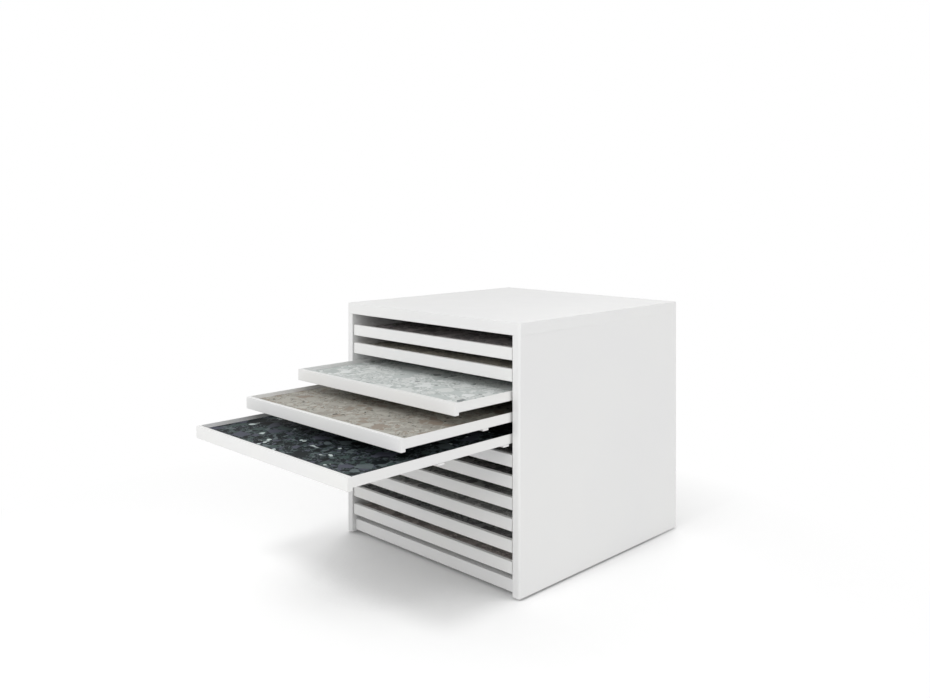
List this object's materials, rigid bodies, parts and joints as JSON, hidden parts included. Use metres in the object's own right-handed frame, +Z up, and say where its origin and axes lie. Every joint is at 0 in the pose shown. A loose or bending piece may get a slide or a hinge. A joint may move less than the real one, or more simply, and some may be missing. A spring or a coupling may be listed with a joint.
{
  "type": "multi-drawer cabinet",
  "caption": "Low square cabinet of shallow full-width trays for flat material boards, white, with some trays pulled out.",
  "frame": {"origin": "on the floor under the middle of the cabinet's footprint, at the underside of the middle foot; the open drawers reach out of this footprint", "axes": "+X to the right seen from the front, +Y to the back, +Z up; the drawers open along -Y"},
  "size_m": [0.646, 1.161, 0.6478],
  "materials": {
    "carcass_white": "satin",
    "drawer_white": "satin",
    "zinc_steel": "satin",
    "dowel_beech": "matte",
    "foot_plastic": "matte",
    "buffer_rubber": "matte",
    "board_warm_grey": "satin",
    "board_ivory": "satin",
    "board_pale_grey": "satin",
    "board_taupe": "satin",
    "board_slate": "satin",
    "board_stone_grey": "satin",
    "board_dark_grey": "satin",
    "board_mid_grey": "satin",
    "board_light_grey": "satin",
    "board_dove_grey": "satin",
    "board_blush": "satin"
  },
  "bodies": {
    "cabinet": {"left_side_panel": "carcass_white", "right_side_panel": "carcass_white", "top_panel": "carcass_white", "bottom_panel": "carcass_white", "back_panel": "carcass_white", "back_panel_screws": "zinc_steel", "carcass_dowels": "dowel_beech", "levelling_feet": "foot_plastic", "foot_studs": "zinc_steel", "front_runner_carriers": "zinc_steel", "rear_runner_carriers": "zinc_steel", "carrier_screws": "zinc_steel", "left_cabinet_rails": "zinc_steel", "right_cabinet_rails": "zinc_steel", "rear_buffers": "buffer_rubber"},
    "drawer_01": {"drawer_01_front": "drawer_white", "drawer_01_tray": "drawer_white", "drawer_01_board": "board_warm_grey"},
    "slider_01": {"slider_01": "zinc_steel"},
    "drawer_02": {"drawer_02_front": "drawer_white", "drawer_02_tray": "drawer_white", "drawer_02_board": "board_ivory"},
    "slider_02": {"slider_02": "zinc_steel"},
    "drawer_03": {"drawer_03_front": "drawer_white", "drawer_03_tray": "drawer_white", "drawer_03_board": "board_pale_grey"},
    "slider_03": {"slider_03": "zinc_steel"},
    "drawer_04": {"drawer_04_front": "drawer_white", "drawer_04_tray": "drawer_white", "drawer_04_board": "board_taupe"},
    "slider_04": {"slider_04": "zinc_steel"},
    "drawer_05": {"drawer_05_front": "drawer_white", "drawer_05_tray": "drawer_white", "drawer_05_board": "board_slate"},
    "slider_05": {"slider_05": "zinc_steel"},
    "drawer_06": {"drawer_06_front": "drawer_white", "drawer_06_tray": "drawer_white", "drawer_06_board": "board_stone_grey"},
    "slider_06": {"slider_06": "zinc_steel"},
    "drawer_07": {"drawer_07_front": "drawer_white", "drawer_07_tray": "drawer_white", "drawer_07_board": "board_dark_grey"},
    "slider_07": {"slider_07": "zinc_steel"},
    "drawer_08": {"drawer_08_front": "drawer_white", "drawer_08_tray": "drawer_white", "drawer_08_board": "board_mid_grey"},
    "slider_08": {"slider_08": "zinc_steel"},
    "drawer_09": {"drawer_09_front": "drawer_white", "drawer_09_tray": "drawer_white", "drawer_09_board": "board_light_grey"},
    "slider_09": {"slider_09": "zinc_steel"},
    "drawer_10": {"drawer_10_front": "drawer_white", "drawer_10_tray": "drawer_white", "drawer_10_board": "board_dove_grey"},
    "slider_10": {"slider_10": "zinc_steel"},
    "drawer_11": {"drawer_11_front": "drawer_white", "drawer_11_tray": "drawer_white", "drawer_11_board": "board_blush"},
    "slider_11": {"slider_11": "zinc_steel"}
  },
  "joints": [
    {"name": "drawer_01_slide", "type": "slide", "parent": "cabinet", "child": "drawer_01", "axis": [0, -1, 0], "range_m": [0, 0.56]},
    {"name": "slider_01_slide", "type": "slide", "parent": "cabinet", "child": "slider_01", "axis": [0, -1, 0], "range_m": [0, 0.28]},
    {"name": "drawer_02_slide", "type": "slide", "parent": "cabinet", "child": "drawer_02", "axis": [0, -1, 0], "range_m": [0, 0.56]},
    {"name": "slider_02_slide", "type": "slide", "parent": "cabinet", "child": "slider_02", "axis": [0, -1, 0], "range_m": [0, 0.28]},
    {"name": "drawer_03_slide", "type": "slide", "parent": "cabinet", "child": "drawer_03", "axis": [0, -1, 0], "range_m": [-0.188, 0.372]},
    {"name": "slider_03_slide", "type": "slide", "parent": "cabinet", "child": "slider_03", "axis": [0, -1, 0], "range_m": [-0.094, 0.186]},
    {"name": "drawer_04_slide", "type": "slide", "parent": "cabinet", "child": "drawer_04", "axis": [0, -1, 0], "range_m": [-0.345, 0.215]},
    {"name": "slider_04_slide", "type": "slide", "parent": "cabinet", "child": "slider_04", "axis": [0, -1, 0], "range_m": [-0.1725, 0.1075]},
    {"name": "drawer_05_slide", "type": "slide", "parent": "cabinet", "child": "drawer_05", "axis": [0, -1, 0], "range_m": [-0.484, 0.076]},
    {"name": "slider_05_slide", "type": "slide", "parent": "cabinet", "child": "slider_05", "axis": [0, -1, 0], "range_m": [-0.242, 0.038]},
    {"name": "drawer_06_slide", "type": "slide", "parent": "cabinet", "child": "drawer_06", "axis": [0, -1, 0], "range_m": [0, 0.56]},
    {"name": "slider_06_slide", "type": "slide", "parent": "cabinet", "child": "slider_06", "axis": [0, -1, 0], "range_m": [0, 0.28]},
    {"name": "drawer_07_slide", "type": "slide", "parent": "cabinet", "child": "drawer_07", "axis": [0, -1, 0], "range_m": [0, 0.56]},
    {"name": "slider_07_slide", "type": "slide", "parent": "cabinet", "child": "slider_07", "axis": [0, -1, 0], "range_m": [0, 0.28]},
    {"name": "drawer_08_slide", "type": "slide", "parent": "cabinet", "child": "drawer_08", "axis": [0, -1, 0], "range_m": [0, 0.56]},
    {"name": "slider_08_slide", "type": "slide", "parent": "cabinet", "child": "slider_08", "axis": [0, -1, 0], "range_m": [0, 0.28]},
    {"name": "drawer_09_slide", "type": "slide", "parent": "cabinet", "child": "drawer_09", "axis": [0, -1, 0], "range_m": [0, 0.56]},
    {"name": "slider_09_slide", "type": "slide", "parent": "cabinet", "child": "slider_09", "axis": [0, -1, 0], "range_m": [0, 0.28]},
    {"name": "drawer_10_slide", "type": "slide", "parent": "cabinet", "child": "drawer_10", "axis": [0, -1, 0], "range_m": [0, 0.56]},
    {"name": "slider_10_slide", "type": "slide", "parent": "cabinet", "child": "slider_10", "axis": [0, -1, 0], "range_m": [0, 0.28]},
    {"name": "drawer_11_slide", "type": "slide", "parent": "cabinet", "child": "drawer_11", "axis": [0, -1, 0], "range_m": [0, 0.56]},
    {"name": "slider_11_slide", "type": "slide", "parent": "cabinet", "child": "slider_11", "axis": [0, -1, 0], "range_m": [0, 0.28]}
  ],
  "couplings": [
    {"joint": "slider_01_slide", "follows": "drawer_01_slide", "ratio": 0.5},
    {"joint": "slider_02_slide", "follows": "drawer_02_slide", "ratio": 0.5},
    {"joint": "slider_03_slide", "follows": "drawer_03_slide", "ratio": 0.5},
    {"joint": "slider_04_slide", "follows": "drawer_04_slide", "ratio": 0.5},
    {"joint": "slider_05_slide", "follows": "drawer_05_slide", "ratio": 0.5},
    {"joint": "slider_06_slide", "follows": "drawer_06_slide", "ratio": 0.5},
    {"joint": "slider_07_slide", "follows": "drawer_07_slide", "ratio": 0.5},
    {"joint": "slider_08_slide", "follows": "drawer_08_slide", "ratio": 0.5},
    {"joint": "slider_09_slide", "follows": "drawer_09_slide", "ratio": 0.5},
    {"joint": "slider_10_slide", "follows": "drawer_10_slide", "ratio": 0.5},
    {"joint": "slider_11_slide", "follows": "drawer_11_slide", "ratio": 0.5}
  ]
}
